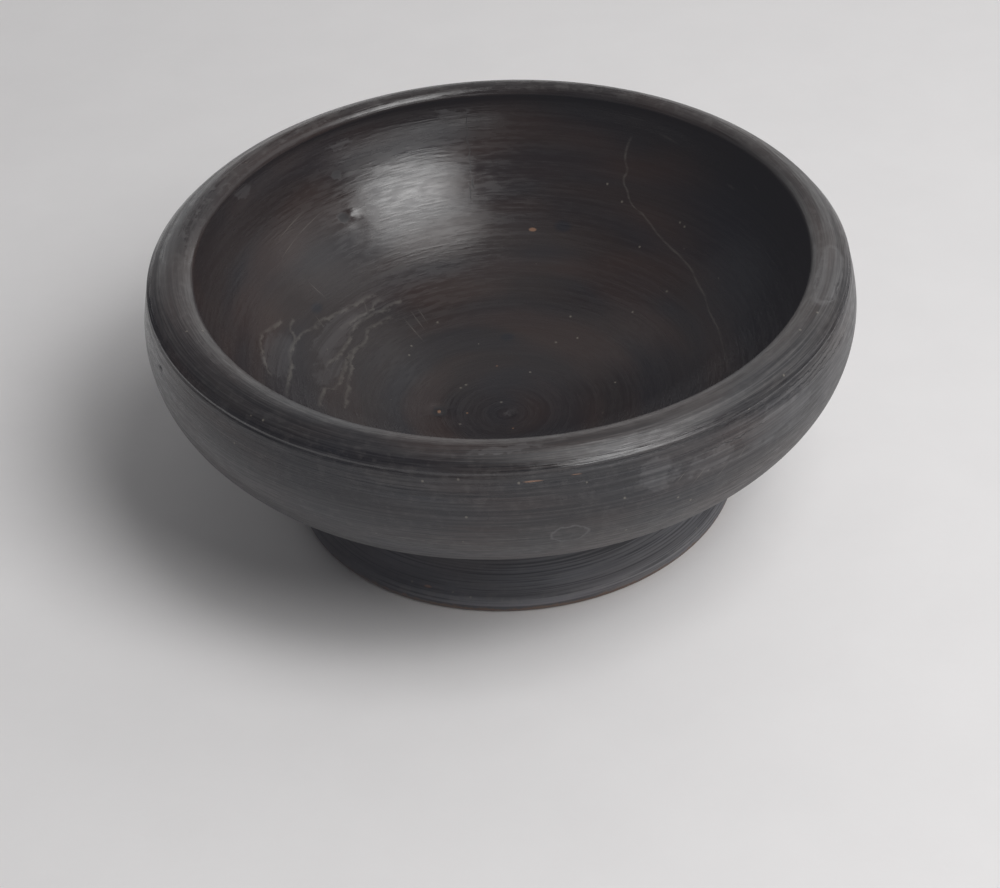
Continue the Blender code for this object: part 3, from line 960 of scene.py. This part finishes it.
def floor_mesh():
    """A square in the plane that the bowl stands on."""
    corners = [(-TABLE_REACH, -TABLE_REACH, 0), (TABLE_REACH, -TABLE_REACH, 0)]
    corners += [(TABLE_REACH, TABLE_REACH, 0), (-TABLE_REACH, TABLE_REACH, 0)]
    mesh = bpy.data.meshes.new("floor")
    mesh.from_pydata(corners, [], [(0, 1, 2, 3)])
    return mesh


def put(name, data, right, up, back, place):
    """A camera or a light put in its place, with its own axes to the right, up and back."""
    made = bpy.data.objects.new(name, data)
    matrix = np.eye(4)
    matrix[:3] = np.column_stack([right, up, back, place])
    made.matrix_world = Matrix(matrix.tolist())
    bpy.context.scene.collection.objects.link(made)
    return made


def set_camera():
    """The camera, which first faces the middle of the foot and is then panned, tilted and rolled."""
    rise = np.radians(RISE)
    place = DISTANCE * np.array([0.0, -np.cos(rise), np.sin(rise)])
    ahead = -place / DISTANCE
    right = np.array([1.0, 0.0, 0.0])
    up = np.cross(right, ahead)
    for axis_name, degrees in (("up", PAN), ("right", TILT), ("ahead", ROLL)):
        axis = {"up": up, "right": right, "ahead": ahead}[axis_name]
        turn = np.array(Matrix.Rotation(np.radians(degrees), 3, axis))
        ahead, right, up = turn @ ahead, turn @ right, turn @ up
    camera = bpy.data.cameras.new("camera")
    camera.lens = LENS
    camera.sensor_width = SENSOR
    bpy.context.scene.camera = put("camera", camera, right, up, -ahead, place)


def softbox(name, azimuth, elevation, distance, width, height, power):
    """An oval of white light that faces the bowl."""
    az, el = np.radians(azimuth), np.radians(elevation)
    outward = np.array([np.sin(az) * np.cos(el), np.cos(az) * np.cos(el), np.sin(el)])
    right = np.cross([0, 0, 1.0], outward)
    right /= np.linalg.norm(right)
    light = bpy.data.lights.new(name, "AREA")
    light.shape = "ELLIPSE"
    light.size, light.size_y = width, height
    light.energy = power
    put(name, light, right, np.cross(outward, right), outward, distance * outward + AIM)


def set_lights():
    """All softboxes, and the faint light of the room."""
    for name, values in LIGHTS.items():
        softbox(name, *values)
    world = bpy.data.worlds.new("room")
    bpy.context.scene.world = world
    world.use_nodes = True
    background = world.node_tree.nodes["Background"]
    background.inputs["Color"].default_value = linear(ROOM_TINT)
    background.inputs["Strength"].default_value = ROOM_STRENGTH


def set_display():
    """Plain display colours, with the darkest tones lifted a little, as light scattered in a lens does."""
    display = bpy.context.scene.view_settings
    display.view_transform = "Standard"
    display.use_curve_mapping = True
    display.curve_mapping.black_level = [-part for part in VEIL]
    display.curve_mapping.update()


bowl = piece("thrown_bowl", bowl_mesh(), black_slip())
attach(bowl, "root")
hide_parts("bowl")
piece("table_top", floor_mesh(), table_top())
set_camera()
set_lights()
set_display()
